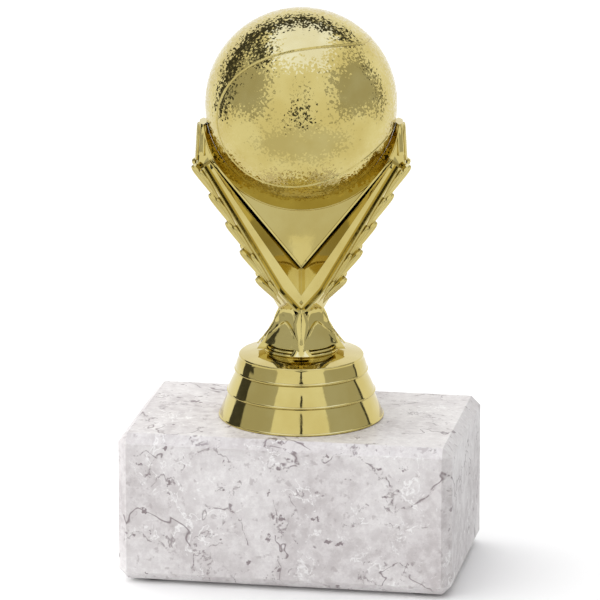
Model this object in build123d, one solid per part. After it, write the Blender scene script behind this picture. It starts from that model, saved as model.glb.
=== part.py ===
from build123d import *

import math
import os

# Table trophy: a gold ball standing in a V of laurel leaves, on a lotus stem and a
# three-tier foot, bolted through a marble block.
#
# Millimetres. The origin is where the felt pads rest, under the middle of the block.
# +X is the viewer's right, +Y is the back and +Z is up. The figure is everything above
# the block: its pieces are drawn square, with z = 0 under the foot, and then turned
# together about the stud and set on the block.

# Block and pads
BLOCK_WIDTH = 80.0
BLOCK_DEPTH = 50.0
BLOCK_HEIGHT = 36.0
BLOCK_BEVEL = 2.2
PAD_RADIUS = 4.0
PAD_THICKNESS = 0.8
PAD_INSET = 8.0

# M6 stud, nut and washer, and the hole they share in the block
STUD_RADIUS = 3.0
STUD_END_CHAMFER = 0.6
STUD_PAST_NUT = 2.0
NUT_ACROSS_FLATS = 10.0
NUT_HEIGHT = 5.2
NUT_CHAMFER = 0.5
THREAD_GAP = 0.05
WASHER_RADIUS = 9.0
WASHER_BORE_RADIUS = 3.2
WASHER_THICKNESS = 1.6
BLOCK_BORE_RADIUS = 3.5
NUT_RECESS_RADIUS = 10.0
NUT_RECESS_DEPTH = 12.0

# Foot: each tier is (radius at its lower edge, height of that edge)
FOOT_HEIGHT = 15.1
FOOT_TOP_RADIUS = 14.9
FOOT_TIERS = [(16.0, 11.2), (17.8, 6.0), (19.8, 0.0)]
FOOT_TIER_BULGE = 0.1
FOOT_TIER_STEP = 0.5
FOOT_WALL = 1.7
SHOULDER_RISE = 1.1
COLLAR_RADIUS = 8.8

# Lotus stem
SPIGOT_RADIUS = 7.0
SPIGOT_LENGTH = 11.0
SPIGOT_GAP = 0.1
NECK_RING_COUNT = 3
NECK_RING_HEIGHT = 0.75
NECK_RING_STEP = 0.45
STEM_HEIGHT = 9.8
STEM_WAIST_RADIUS = 5.2
STEM_WAIST_SHARE = 0.62
STEM_BULGE_RADIUS = 6.2
STEM_BULGE_SHARE = 0.81
STEM_TOP_RADIUS = 5.0
STEM_BORE_RADIUS = 3.2
STEM_BORE_LENGTH = 3.0

# Threaded insert moulded into the stem
INSERT_RADIUS = 4.6
INSERT_LENGTH = 9.0
INSERT_GROOVE_RADIUS = 3.9
INSERT_GROOVE_WIDTH = 1.6

# Tang of the cradle in the top of the stem
TANG_RADIUS = 3.0
TANG_LENGTH = 5.0
TANG_GAP = 0.1

# Ball
BALL_RADIUS = 22.7
BALL_HEIGHT = 76.3
BALL_WALL = 2.0
BALL_LIP_LENGTH = 1.5
BALL_LIP_INNER_RADIUS = 19.7
BALL_LIP_GAP = 0.05
BALL_PEG_RADIUS = 2.0
BALL_PEG_LENGTH = 3.0
BALL_PEG_GAP = 0.1
BALL_SEAT_GAP = 0.05

# Cradle, front view: the two arms run from the bottom lip to the leaf tips
LIP_HEIGHT = 26.0
LIP_HALF_WIDTH = 3.3
LIP_CORNER_HEIGHT = 28.5
ARM_FOOT_HALF_WIDTH = 5.0
ARM_TIP_X = 25.0
ARM_TIP_HEIGHT = 60.8
WING_TOP_HEIGHT = 72.0
WING_TOP_X = 24.5
PANEL_TOP_X = 21.4
PANEL_TOP_HEIGHT = 63.6
PANEL_APEX_HEIGHT = 37.2
CHEVRON_APEX_HEIGHT = 31.3

# Cradle, depth of each surface in front of the parting plane
PANEL_TOP_DEPTH = 6.0
PANEL_APEX_DEPTH = 4.0
CHEVRON_APEX_DEPTH = 7.5
ARM_EDGE_DEPTH = 1.4
SEAT_RIM_RADIUS = 24.1
PANEL_POCKET_DEPTH = 2.4
PANEL_POCKET_MARGIN = 3.8
SEAT_WALL = 1.7

# Laurel leaves along each arm
LEAF_COUNT = 5
LEAF_LENGTH = 10.0
LEAF_BOW = 1.7
LEAF_DEPTH = 2.6
LEAF_OVERHANG = 1.0
LEAF_SPLAY = 7.0

# Pegs that line up the cradle's two halves
HALF_PEG_RADIUS = 1.0
HALF_PEG_LENGTH = 2.0
HALF_PEG_GAP = 0.1
HALF_PEG_X = 13.2
HALF_PEG_HEIGHT = 45.0

# The figure is turned on its stud at rest
FIGURE_TURN = 10.0

# Worked out from the dimensions above
BLOCK_TOP = PAD_THICKNESS + BLOCK_HEIGHT
RECESS_TOP = PAD_THICKNESS + NUT_RECESS_DEPTH
NUT_BOTTOM = RECESS_TOP - WASHER_THICKNESS - NUT_HEIGHT
STEM_BOTTOM = FOOT_HEIGHT + SHOULDER_RISE
STEM_TOP = STEM_BOTTOM + STEM_HEIGHT
SPIGOT_BOTTOM = STEM_BOTTOM - SPIGOT_LENGTH
INSERT_TOP = SPIGOT_BOTTOM + INSERT_LENGTH
PRISM_DEPTH = CHEVRON_APEX_DEPTH + 3.0
CHEVRON_LEAN = (CHEVRON_APEX_DEPTH - PANEL_TOP_DEPTH) / (PANEL_TOP_HEIGHT - CHEVRON_APEX_HEIGHT)


def revolved(outline):
    """The solid made by turning a closed outline, drawn in the XZ plane, about Z."""
    return revolve(Plane.XZ * make_face(outline), Axis.Z)


def polygon(*points):
    """A flat face in the XZ plane with the given (x, z) corners."""
    return Plane.XZ * make_face(Polyline(*points, close=True))


def solid_from_corners(corners, faces):
    """A flat-sided solid; each face lists its corners by their place in the list."""
    sides = [Face(Wire.make_polygon([corners[i] for i in face])) for face in faces]
    return Solid(Shell(sides))


def on_block(shape):
    """A piece of the figure, turned about the stud and set on the block."""
    return Pos(0, 0, BLOCK_TOP) * Rot(0, 0, FIGURE_TURN) * shape


def marble_base():
    """Bevelled block with the stud's bore and a recess for the nut underneath."""
    block = Box(BLOCK_WIDTH, BLOCK_DEPTH, BLOCK_HEIGHT)
    block = chamfer(block.edges(), BLOCK_BEVEL)
    block = Pos(0, 0, PAD_THICKNESS + BLOCK_HEIGHT / 2) * block
    bore = Pos(0, 0, BLOCK_TOP / 2) * Cylinder(BLOCK_BORE_RADIUS, 2 * BLOCK_HEIGHT)
    recess = Pos(0, 0, RECESS_TOP) * Cylinder(
        NUT_RECESS_RADIUS, 2 * NUT_RECESS_DEPTH, align=(Align.CENTER, Align.CENTER, Align.MAX)
    )
    return block - bore - recess


def felt_pads():
    """One round pad near each lower corner of the block, by name."""
    pads = {}
    for side, sign_x in (("left", -1), ("right", 1)):
        for end, sign_y in (("front", -1), ("rear", 1)):
            x = sign_x * (BLOCK_WIDTH / 2 - PAD_INSET)
            y = sign_y * (BLOCK_DEPTH / 2 - PAD_INSET)
            pad = Pos(x, y, PAD_THICKNESS / 2) * Cylinder(PAD_RADIUS, PAD_THICKNESS)
            pads[f"felt_pad_{end}_{side}"] = pad
    return pads


def hex_nut():
    """M6 nut with chamfered corners, under the washer."""
    corner_radius = NUT_ACROSS_FLATS / math.sqrt(3)
    prism = extrude(RegularPolygon(corner_radius, 6), NUT_HEIGHT)
    round_blank = Pos(0, 0, NUT_HEIGHT / 2) * Cylinder(corner_radius, NUT_HEIGHT)
    round_blank = chamfer(round_blank.edges(), NUT_CHAMFER)
    bore = Cylinder(STUD_RADIUS + THREAD_GAP, 3 * NUT_HEIGHT)
    return Pos(0, 0, NUT_BOTTOM) * ((prism & round_blank) - bore)


def flat_washer():
    """Washer between the nut and the top of the recess."""
    disc = Cylinder(WASHER_RADIUS, WASHER_THICKNESS) - Cylinder(WASHER_BORE_RADIUS, WASHER_THICKNESS)
    return Pos(0, 0, RECESS_TOP - WASHER_THICKNESS / 2) * disc


def threaded_stud():
    """Stud from below the nut to the top of the insert, in the figure's own heights."""
    bottom = NUT_BOTTOM - STUD_PAST_NUT - BLOCK_TOP
    length = INSERT_TOP - bottom
    stud = chamfer(Cylinder(STUD_RADIUS, length).edges(), STUD_END_CHAMFER)
    return Pos(0, 0, bottom + length / 2) * stud


def insert_blank():
    """Outside of the threaded insert: a sleeve with a groove that locks it in the stem."""
    sleeve = Cylinder(INSERT_RADIUS, INSERT_LENGTH)
    groove = Cylinder(INSERT_RADIUS, INSERT_GROOVE_WIDTH)
    groove -= Cylinder(INSERT_GROOVE_RADIUS, INSERT_GROOVE_WIDTH)
    return Pos(0, 0, SPIGOT_BOTTOM + INSERT_LENGTH / 2) * (sleeve - groove)


def threaded_insert():
    """Insert with the stud's hole through it."""
    return insert_blank() - Cylinder(STUD_RADIUS, 4 * STEM_TOP)


def tiered_foot():
    """Hollow bell foot: three flared tiers, a sloping shoulder and the stem's hole."""
    hole = SPIGOT_RADIUS + SPIGOT_GAP
    outline = Polyline(
        (hole, FOOT_HEIGHT - FOOT_WALL),
        (hole, STEM_BOTTOM),
        (COLLAR_RADIUS, STEM_BOTTOM),
        (FOOT_TOP_RADIUS, FOOT_HEIGHT),
    )
    start = (FOOT_TOP_RADIUS, FOOT_HEIGHT)
    for lower_radius, lower_height in FOOT_TIERS:
        end = (lower_radius, lower_height)
        outline += SagittaArc(start, end, FOOT_TIER_BULGE)
        if lower_height > 0:
            start = (lower_radius - FOOT_TIER_STEP, lower_height)
            outline += Line(end, start)
    outline += Polyline(
        end,
        (end[0] - FOOT_WALL, 0),
        (FOOT_TOP_RADIUS - FOOT_WALL, FOOT_HEIGHT - FOOT_WALL),
        (hole, FOOT_HEIGHT - FOOT_WALL),
    )
    return revolved(outline)


def stem_outline():
    """Half section of the stem, from the spigot's lower end up to the cradle's seat."""
    outline = Polyline(
        (0, SPIGOT_BOTTOM),
        (SPIGOT_RADIUS, SPIGOT_BOTTOM),
        (SPIGOT_RADIUS, STEM_BOTTOM),
        (COLLAR_RADIUS, STEM_BOTTOM),
    )
    radius = COLLAR_RADIUS
    height = STEM_BOTTOM
    for _ in range(NECK_RING_COUNT):
        ring_top = height + NECK_RING_HEIGHT
        outline += SagittaArc((radius, ring_top), (radius, height), -NECK_RING_HEIGHT / 2)
        outline += Line((radius, ring_top), (radius - NECK_RING_STEP, ring_top))
        radius -= NECK_RING_STEP
        height = ring_top
    waist = (STEM_WAIST_RADIUS, STEM_BOTTOM + STEM_WAIST_SHARE * STEM_HEIGHT)
    bulge = (STEM_BULGE_RADIUS, STEM_BOTTOM + STEM_BULGE_SHARE * STEM_HEIGHT)
    top = (STEM_TOP_RADIUS, STEM_TOP)
    outline += Spline((radius, height), waist, bulge, top)
    outline += Polyline(top, (0, STEM_TOP), (0, SPIGOT_BOTTOM))
    return outline


def lotus_stem():
    """Stem with the insert's cavity and the stud's bore below, and the tang's socket above."""
    bore = Pos(0, 0, INSERT_TOP + STEM_BORE_LENGTH / 2) * Cylinder(STEM_BORE_RADIUS, STEM_BORE_LENGTH)
    socket = Pos(0, 0, STEM_TOP) * Cylinder(TANG_RADIUS + TANG_GAP, 2 * (TANG_LENGTH + TANG_GAP))
    core = Cylinder(STUD_RADIUS, 2 * INSERT_TOP)
    return revolved(stem_outline()) - insert_blank() - core - bore - socket


def arm_prism():
    """Right half of the cradle as a plain prism, from the parting plane forwards."""
    side = polygon(
        (0, LIP_HEIGHT),
        (ARM_FOOT_HALF_WIDTH, LIP_HEIGHT),
        (ARM_TIP_X, ARM_TIP_HEIGHT),
        (WING_TOP_X, WING_TOP_HEIGHT),
        (0, WING_TOP_HEIGHT),
    )
    return extrude(side, PRISM_DEPTH)


def chevron_depth(height):
    """Depth of the leaning front face of the arms at a height."""
    return PANEL_TOP_DEPTH + CHEVRON_LEAN * (PANEL_TOP_HEIGHT - height)


def front_plane():
    """Plane of the arms' front face, facing the viewer."""
    lean = math.degrees(math.atan(CHEVRON_LEAN))
    origin = (0, -PANEL_TOP_DEPTH, PANEL_TOP_HEIGHT)
    upright = Plane(origin, x_dir=(1, 0, 0), z_dir=(0, -1, 0))
    return upright.rotated((-lean, 0, 0))


def flank_plane():
    """Plane that falls back from the front face's outer edge to the arm's outer edge."""
    low = Vector(LIP_HALF_WIDTH, -chevron_depth(LIP_CORNER_HEIGHT), LIP_CORNER_HEIGHT)
    high = Vector(PANEL_TOP_X, -PANEL_TOP_DEPTH, PANEL_TOP_HEIGHT)
    edge = Vector(ARM_TIP_X, -ARM_EDGE_DEPTH, ARM_TIP_HEIGHT)
    normal = (edge - high).cross(low - high).normalized()
    if normal.X < 0:
        normal = normal * -1
    return Plane(high, z_dir=normal)


def leaf(number):
    """One laurel leaf on the right arm, pointing up and outwards past the arm's edge."""
    foot = Vector(ARM_FOOT_HALF_WIDTH, LIP_HEIGHT)
    along = Vector(ARM_TIP_X, ARM_TIP_HEIGHT) - foot
    direction = along.normalized()
    outwards = Vector(direction.Y, -direction.X)
    tip = foot + along * ((number + 1) / LEAF_COUNT) + outwards * LEAF_OVERHANG
    base = tip - direction.rotate(Axis.Z, -LEAF_SPLAY) * LEAF_LENGTH
    outline = SagittaArc(base, tip, LEAF_BOW) + SagittaArc(tip, base, LEAF_BOW)
    return extrude(Plane.XZ * make_face(outline), LEAF_DEPTH)


def panel_recess():
    """Four-cornered hollow in front of the shield panel, deepest at the foot of the V."""
    left = (-PANEL_TOP_X, -PANEL_TOP_DEPTH, PANEL_TOP_HEIGHT)
    right = (PANEL_TOP_X, -PANEL_TOP_DEPTH, PANEL_TOP_HEIGHT)
    back = (0, -PANEL_APEX_DEPTH, PANEL_APEX_HEIGHT)
    front = (0, -chevron_depth(CHEVRON_APEX_HEIGHT), CHEVRON_APEX_HEIGHT)
    return solid_from_corners(
        [left, right, back, front],
        [(0, 1, 2), (0, 1, 3), (0, 2, 3), (1, 2, 3)],
    )


def ball_seat():
    """Space for the ball: a ring that is tight at the parting plane and flares forwards."""
    flare = Cone(BALL_RADIUS + BALL_SEAT_GAP, SEAT_RIM_RADIUS, PANEL_TOP_DEPTH)
    opening = Pos(0, 0, PRISM_DEPTH) * Cylinder(SEAT_RIM_RADIUS, 2 * (PRISM_DEPTH - PANEL_TOP_DEPTH))
    seat = Pos(0, 0, PANEL_TOP_DEPTH / 2) * flare + opening
    return Pos(0, 0, BALL_HEIGHT) * (Rot(90, 0, 0) * seat)


def panel_pocket():
    """Hollow behind the shield panel that keeps its wall thin."""
    apex = PANEL_APEX_HEIGHT + PANEL_POCKET_MARGIN
    half_width = PANEL_TOP_X - PANEL_POCKET_MARGIN
    triangle = polygon((0, apex), (half_width, PANEL_TOP_HEIGHT), (-half_width, PANEL_TOP_HEIGHT))
    clear_of_seat = Pos(0, 0, BALL_HEIGHT) * Rot(90, 0, 0) * Cylinder(
        SEAT_RIM_RADIUS + SEAT_WALL, 4 * PANEL_POCKET_DEPTH
    )
    return extrude(triangle, PANEL_POCKET_DEPTH) - clear_of_seat


def front_half_only(shape):
    """The part of a shape in front of the parting plane."""
    return split(shape, bisect_by=Plane.XZ, keep=Keep.TOP)


def plain_cradle_half():
    """Front half of the cradle, without the pegs that line it up with the other half."""
    arm = split(arm_prism(), bisect_by=front_plane(), keep=Keep.BOTTOM)
    arm = split(arm, bisect_by=flank_plane(), keep=Keep.BOTTOM)
    for number in range(LEAF_COUNT):
        arm += leaf(number)
    arm = split(arm, bisect_by=Plane.XY.offset(STEM_TOP), keep=Keep.TOP)
    cradle = arm + mirror(arm, Plane.YZ)
    cradle = cradle - panel_recess() - panel_pocket() - ball_seat()
    tang = Pos(0, 0, STEM_TOP - TANG_LENGTH) * Cylinder(
        TANG_RADIUS, 2 * TANG_LENGTH, align=(Align.CENTER, Align.CENTER, Align.MIN)
    )
    ball_peg = Pos(0, 0, BALL_HEIGHT - BALL_RADIUS) * Cylinder(BALL_PEG_RADIUS, 2 * BALL_PEG_LENGTH)
    return cradle + front_half_only(tang) + front_half_only(ball_peg)


def half_pegs(gap):
    """The two round pegs behind the front half, grown by a gap for their sockets."""
    pegs = []
    for side in (-1, 1):
        peg = Cylinder(HALF_PEG_RADIUS + gap, 2 * (HALF_PEG_LENGTH + gap))
        pegs.append(Pos(side * HALF_PEG_X, 0, HALF_PEG_HEIGHT) * Rot(90, 0, 0) * peg)
    return pegs


def cradle_front():
    """Front half of the cradle with its two pegs."""
    cradle = plain_cradle_half()
    for peg in half_pegs(0):
        cradle += peg
    return cradle


def cradle_rear():
    """Rear half of the cradle: the front half mirrored, with sockets for the pegs."""
    cradle = mirror(plain_cradle_half(), Plane.XZ)
    for socket in half_pegs(HALF_PEG_GAP):
        cradle -= socket
    return cradle


def ball_ring(outer_radius, length):
    """Ring on the ball's inner wall, centred on the parting plane."""
    ring = Cylinder(outer_radius, 2 * length) - Cylinder(BALL_LIP_INNER_RADIUS, 2 * length)
    return Pos(0, 0, BALL_HEIGHT) * Rot(90, 0, 0) * ring


def plain_ball():
    """Hollow ball with the hole for the seat's peg."""
    shell = Pos(0, 0, BALL_HEIGHT) * (Sphere(BALL_RADIUS) - Sphere(BALL_RADIUS - BALL_WALL))
    peg_hole = Pos(0, 0, BALL_HEIGHT - BALL_RADIUS) * Cylinder(
        BALL_PEG_RADIUS + BALL_PEG_GAP, 2 * (BALL_PEG_LENGTH + BALL_PEG_GAP)
    )
    return shell - peg_hole


def ball_front_shell():
    """Front half of the ball, with a lip that enters the rear half."""
    lip = ball_ring(BALL_RADIUS - BALL_WALL / 2, BALL_LIP_LENGTH) & plain_ball()
    return front_half_only(plain_ball()) + lip


def ball_rear_shell():
    """Rear half of the ball, rebated for the front half's lip."""
    rebate = ball_ring(BALL_RADIUS - BALL_WALL / 2 + BALL_LIP_GAP, BALL_LIP_LENGTH + BALL_LIP_GAP)
    return split(plain_ball(), bisect_by=Plane.XZ, keep=Keep.BOTTOM) - rebate


def main():
    os.makedirs("parts", exist_ok=True)
    pieces = {
        "marble_base": marble_base(),
        "hex_nut": hex_nut(),
        "flat_washer": flat_washer(),
        "threaded_stud": on_block(threaded_stud()),
        "threaded_insert": on_block(threaded_insert()),
        "tiered_foot": on_block(tiered_foot()),
        "lotus_stem": on_block(lotus_stem()),
        "cradle_front": on_block(cradle_front()),
        "cradle_rear": on_block(cradle_rear()),
        "ball_front_shell": on_block(ball_front_shell()),
        "ball_rear_shell": on_block(ball_rear_shell()),
    }
    pieces.update(felt_pads())
    for name, shape in pieces.items():
        export_step(shape, f"parts/{name}.step")


main()
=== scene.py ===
import math

import bmesh
import bpy
from mathutils import Euler, Matrix, Vector
from mathutils.kdtree import KDTree


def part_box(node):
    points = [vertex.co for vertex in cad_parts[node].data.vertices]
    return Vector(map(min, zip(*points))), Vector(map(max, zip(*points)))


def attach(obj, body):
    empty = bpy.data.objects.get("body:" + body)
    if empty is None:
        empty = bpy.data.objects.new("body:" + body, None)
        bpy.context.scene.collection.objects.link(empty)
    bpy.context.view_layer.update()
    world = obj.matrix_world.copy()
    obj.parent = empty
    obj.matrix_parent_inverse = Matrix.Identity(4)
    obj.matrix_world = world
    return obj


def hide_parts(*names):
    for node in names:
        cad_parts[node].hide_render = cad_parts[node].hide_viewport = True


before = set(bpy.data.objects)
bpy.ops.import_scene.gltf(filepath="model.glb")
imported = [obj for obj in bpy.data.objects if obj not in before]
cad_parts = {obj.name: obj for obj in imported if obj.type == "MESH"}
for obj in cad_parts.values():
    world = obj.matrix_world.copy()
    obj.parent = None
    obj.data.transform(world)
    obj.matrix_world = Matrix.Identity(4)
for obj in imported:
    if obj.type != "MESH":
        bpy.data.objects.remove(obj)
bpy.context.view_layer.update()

# The gold figure is built in its own frame, in millimetres: z = 0 under the foot, the
# front towards -Y. It is then turned about its stud and set on the block, as in the CAD.

MM = 0.001
BLOCK_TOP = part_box("marble_base")[1].z
FIGURE_TURN = 10.0
FIGURE_TO_ROW = (
    Matrix.Translation((0, 0, BLOCK_TOP))
    @ Matrix.Rotation(math.radians(FIGURE_TURN), 4, "Z")
    @ Matrix.Scale(MM, 4)
)


def height_on_block(z):
    """Height above the block in millimetres of a height in the row frame."""
    return (z - BLOCK_TOP) / MM


# Ball
BALL_RADIUS = 22.7
BALL_CENTRE_Z = height_on_block(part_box("ball_front_shell")[1].z) - BALL_RADIUS

# Foot and stem
FOOT_HEIGHT = 15.1
FOOT_TOP_RADIUS = 14.9
FOOT_TIERS = [(16.0, 11.2), (17.8, 6.0), (19.8, 0.0)]
FOOT_TIER_BULGE = 0.08
FOOT_TIER_STEP = 0.5
FOOT_BEAD = 0.3
# A tier meets its bead this far in, and starts tucked this far under the bead above it.
FOOT_BEAD_INSET = 0.25
FOOT_TIER_TUCK = 0.1
FOOT_RIM_RISE = 0.1
FOOT_WALL = 1.7
COLLAR_RADIUS = 8.8
STEM_BOTTOM = 16.2
STEM_TOP = height_on_block(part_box("lotus_stem")[1].z)
SPIGOT_RADIUS = 7.0
SPIGOT_CLEARANCE = 0.1
SPIGOT_BOTTOM = height_on_block(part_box("lotus_stem")[0].z)

# Cradle, front view of the right arm: each line is (x, z) at its foot and at its head
PANEL_FOOT = (0.0, 37.2)
PANEL_HEAD = (21.4, 63.6)
INNER_FOOT = (0.0, 31.3)
FACE_FOOT = (0.0, 28.2)
FACE_HEAD = (21.9, 63.2)
EDGE_FOOT = (5.0, 26.2)
EDGE_HEAD = (25.0, 60.8)
LIP_BOTTOM = (0.0, 26.0)
FACE_DEPTH = 7.6
PANEL_FOOT_DEPTH = 4.0
PANEL_LEAN = 0.32
PANEL_CURL = 2.14
PANEL_CROWN_RADIUS = 120.0
WING_TOP_Z = height_on_block(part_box("cradle_front")[1].z)
WING_TOP_DEPTH = 3.4
WING_OUTER_FOOT = (24.9, 60.5)
WING_OUTER_TOP_X = 24.0
SEAT_RIM_RADIUS = 24.5
SEAT_RIM_TOP_RADIUS = 23.3
SEAT_BAND_DEPTH = 1.65
SEAT_GAP = 0.06


# ---------------------------------------------------------------- mesh helpers


def add_loft(bm, sections, closed_ends=True):
    """Skins a row of closed cross-sections that all have the same number of points."""
    rings = [[bm.verts.new(point) for point in section] for section in sections]
    count = len(rings[0])
    for low, high in zip(rings, rings[1:]):
        for i in range(count):
            j = (i + 1) % count
            bm.faces.new((low[i], low[j], high[j], high[i]))
    if closed_ends:
        bm.faces.new(list(reversed(rings[0])))
        bm.faces.new(rings[-1])


def add_lathe(bm, profile, segments=192):
    """Turns a closed outline of (radius, z) points about Z; a point on the axis is one vertex."""
    rings = []
    for radius, z in profile:
        if radius < 1e-6:
            rings.append([bm.verts.new((0, 0, z))] * segments)
            continue
        ring = []
        for i in range(segments):
            angle = 2 * math.pi * i / segments
            ring.append(bm.verts.new((radius * math.cos(angle), radius * math.sin(angle), z)))
        rings.append(ring)
    for first, second in zip(rings, rings[1:] + rings[:1]):
        for i in range(segments):
            j = (i + 1) % segments
            corners = []
            for vertex in (first[i], first[j], second[j], second[i]):
                if vertex not in corners:
                    corners.append(vertex)
            if len(corners) > 2:
                bm.faces.new(corners)


def arc_points(start, end, bulge, steps=8):
    """Points of a shallow arc from start to end, bowed to the right of the way it goes."""
    start = Vector(start)
    along = Vector(end) - start
    outwards = Vector((-along.y, along.x)).normalized() * bulge
    points = []
    for i in range(steps + 1):
        t = i / steps
        points.append(tuple(start + along * t + outwards * 4 * t * (1 - t)))
    return points


def bevel_sharp_edges(bm, width, angle=35.0):
    """Gives every hard edge a narrow round, which catches a line of light."""
    bmesh.ops.recalc_face_normals(bm, faces=bm.faces)
    inner = [edge for edge in bm.edges if len(edge.link_faces) == 2]
    bmesh.ops.bevel(
        bm,
        geom=[edge for edge in inner if edge.calc_face_angle() > math.radians(angle)],
        offset=width,
        offset_type="OFFSET",
        segments=2,
        profile=0.5,
        affect="EDGES",
        clamp_overlap=True,
    )


def piece_from(bm, name, body, replaced, material, smooth_angle=32.0):
    """A finished piece of the figure from a mesh in the figure's frame."""
    bmesh.ops.recalc_face_normals(bm, faces=bm.faces)
    mesh = bpy.data.meshes.new(name)
    bm.to_mesh(mesh)
    bm.free()
    mesh.transform(FIGURE_TO_ROW)
    for polygon in mesh.polygons:
        polygon.use_smooth = True
    mesh.set_sharp_from_angle(angle=math.radians(smooth_angle))
    mesh.materials.append(material)
    piece = bpy.data.objects.new(name, mesh)
    weighted = piece.modifiers.new("weighted_normals", "WEIGHTED_NORMAL")
    weighted.mode = "FACE_AREA"
    weighted.weight = 100
    weighted.keep_sharp = True
    bpy.context.scene.collection.objects.link(piece)
    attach(piece, body)
    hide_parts(*replaced)
    return piece


def between(start, end, t):
    """The point a share t of the way from start to end."""
    return tuple(a + (b - a) * t for a, b in zip(start, end))


# ---------------------------------------------------------------- materials


class Nodes:
    """A short way to write a material's nodes: each call makes a node and returns its output."""

    def __init__(self, tree):
        self.tree = tree

    def add(self, kind, output=0, inputs=None, **settings):
        node = self.tree.nodes.new(kind)
        for key, value in settings.items():
            setattr(node, key, value)
        for key, value in (inputs or {}).items():
            if isinstance(value, bpy.types.NodeSocket):
                self.tree.links.new(value, node.inputs[key])
            else:
                node.inputs[key].default_value = value
        return node.outputs[output]

    def math(self, operation, first, second=0.0):
        return self.add("ShaderNodeMath", operation=operation, inputs={0: first, 1: second})

    def noise(self, coordinates, scale, detail=3.0, roughness=0.5, distortion=0.0):
        return self.add(
            "ShaderNodeTexNoise",
            inputs={
                "Vector": coordinates,
                "Scale": scale,
                "Detail": detail,
                "Roughness": roughness,
                "Distortion": distortion,
            },
        )

    def remap(self, value, low, high, to_low=0.0, to_high=1.0):
        return self.add(
            "ShaderNodeMapRange",
            interpolation_type="SMOOTHSTEP",
            inputs={"Value": value, "From Min": low, "From Max": high, "To Min": to_low, "To Max": to_high},
        )

    def mix_colour(self, share, first, second):
        return self.add(
            "ShaderNodeMix",
            output=2,
            data_type="RGBA",
            inputs={0: share, 6: first, 7: second},
        )

    def bump(self, height, strength, distance, normal=None):
        inputs = {"Height": height, "Strength": strength, "Distance": distance}
        if normal is not None:
            inputs["Normal"] = normal
        return self.add("ShaderNodeBump", inputs=inputs)


def new_material(name):
    """An empty node material: its Nodes, its Principled shader and the object coordinates."""
    material = bpy.data.materials.new(name)
    material.use_nodes = True
    nodes = Nodes(material.node_tree)
    shader = material.node_tree.nodes["Principled BSDF"]
    coordinates = nodes.add("ShaderNodeTexCoord", output="Object")
    return material, nodes, shader, coordinates


def connect(nodes, shader, **sockets):
    """Links outputs to the shader; Base_Color stands for the socket called Base Color."""
    for name, output in sockets.items():
        nodes.tree.links.new(output, shader.inputs[name.replace("_", " ")])


GOLD_LIGHT = (0.66, 0.56, 0.215, 1)
GOLD_DEEP = (0.60, 0.49, 0.165, 1)
# Painted shade: the near-black the gold turns where it folds in on itself, and how far that shade reaches
# on the gold and along the ball's seam.
GOLD_PAINTED_SHADE = (0.05, 0.036, 0.01, 1)
PAINTED_SHADE_REACH = 0.9 * MM
SEAM_PAINTED_SHADE_REACH = 0.5 * MM


def uneven_gold(nodes, where, scale):
    """Gold that wanders a little between its light and its deep tone."""
    tone = nodes.remap(nodes.noise(where, scale), 0.35, 0.65)
    return nodes.mix_colour(tone, GOLD_DEEP, GOLD_LIGHT)


def with_painted_crease_shade(nodes, colour, reach):
    """The colour with painted shade: darkened where the surface is folded in on itself within a reach."""
    openness = nodes.add(
        "ShaderNodeAmbientOcclusion",
        output="AO",
        samples=8,
        only_local=True,
        inputs={"Distance": reach},
    )
    return nodes.mix_colour(nodes.remap(openness, 0.15, 0.7), GOLD_PAINTED_SHADE, colour)


def polished_gold():
    """Vacuum-metallised plastic: mirror-bright gold, a little uneven as mouldings are."""
    material, nodes, shader, where = new_material("polished_gold")
    shader.inputs["Metallic"].default_value = 1.0
    gold = uneven_gold(nodes, where, 90.0)
    haze = nodes.remap(nodes.noise(where, 420.0, detail=5.0), 0.4, 0.75, 0.045, 0.11)
    ripple = nodes.bump(nodes.noise(where, 260.0, detail=2.0), 0.12, 0.0002)
    specks = nodes.bump(nodes.noise(where, 2600.0, detail=2.0), 0.05, 0.00004, ripple)
    # The base colour carries painted shade: near-black in the gold's creases.
    connect(
        nodes,
        shader,
        Base_Color=with_painted_crease_shade(nodes, gold, PAINTED_SHADE_REACH),
        Roughness=haze,
        Normal=specks,
    )
    return material


def speckled_normal(nodes, where, scale, tilt):
    """A surface of tiny facets, each leaning its own way by up to about half the tilt."""
    facets = nodes.add("ShaderNodeTexVoronoi", output="Color", inputs={"Vector": where, "Scale": scale})
    middle = (0.5, 0.5, 0.5)
    centred = nodes.add("ShaderNodeVectorMath", operation="SUBTRACT", inputs={0: facets, 1: middle})
    lean = nodes.add("ShaderNodeVectorMath", operation="SCALE", inputs={0: centred, "Scale": tilt})
    plain = nodes.add("ShaderNodeNewGeometry", output="Normal")
    leaning = nodes.add("ShaderNodeVectorMath", operation="ADD", inputs={0: plain, 1: lean})
    return nodes.add("ShaderNodeVectorMath", operation="NORMALIZE", inputs={0: leaning})


# The ball's grain: facets to the metre, and how far they lean
FACET_SCALE = 2300.0
FACET_TILT = 0.22


def felted_gold():
    """The ball's gold: metallised over a fine felt-like grain that scatters reflections."""
    material, nodes, shader, where = new_material("felted_gold")
    shader.inputs["Metallic"].default_value = 1.0
    gold = uneven_gold(nodes, where, 120.0)
    facets = speckled_normal(nodes, where, FACET_SCALE, FACET_TILT)
    grain = nodes.noise(where, 3200.0, detail=2.0)
    haze = nodes.remap(nodes.noise(where, 900.0), 0.35, 0.7, 0.03, 0.06)
    # The base colour carries painted shade: darkened in the seam's groove.
    connect(
        nodes,
        shader,
        Base_Color=with_painted_crease_shade(nodes, gold, SEAM_PAINTED_SHADE_REACH),
        Roughness=haze,
        Normal=nodes.bump(grain, 0.5, 0.00003, facets),
    )
    return material


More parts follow.
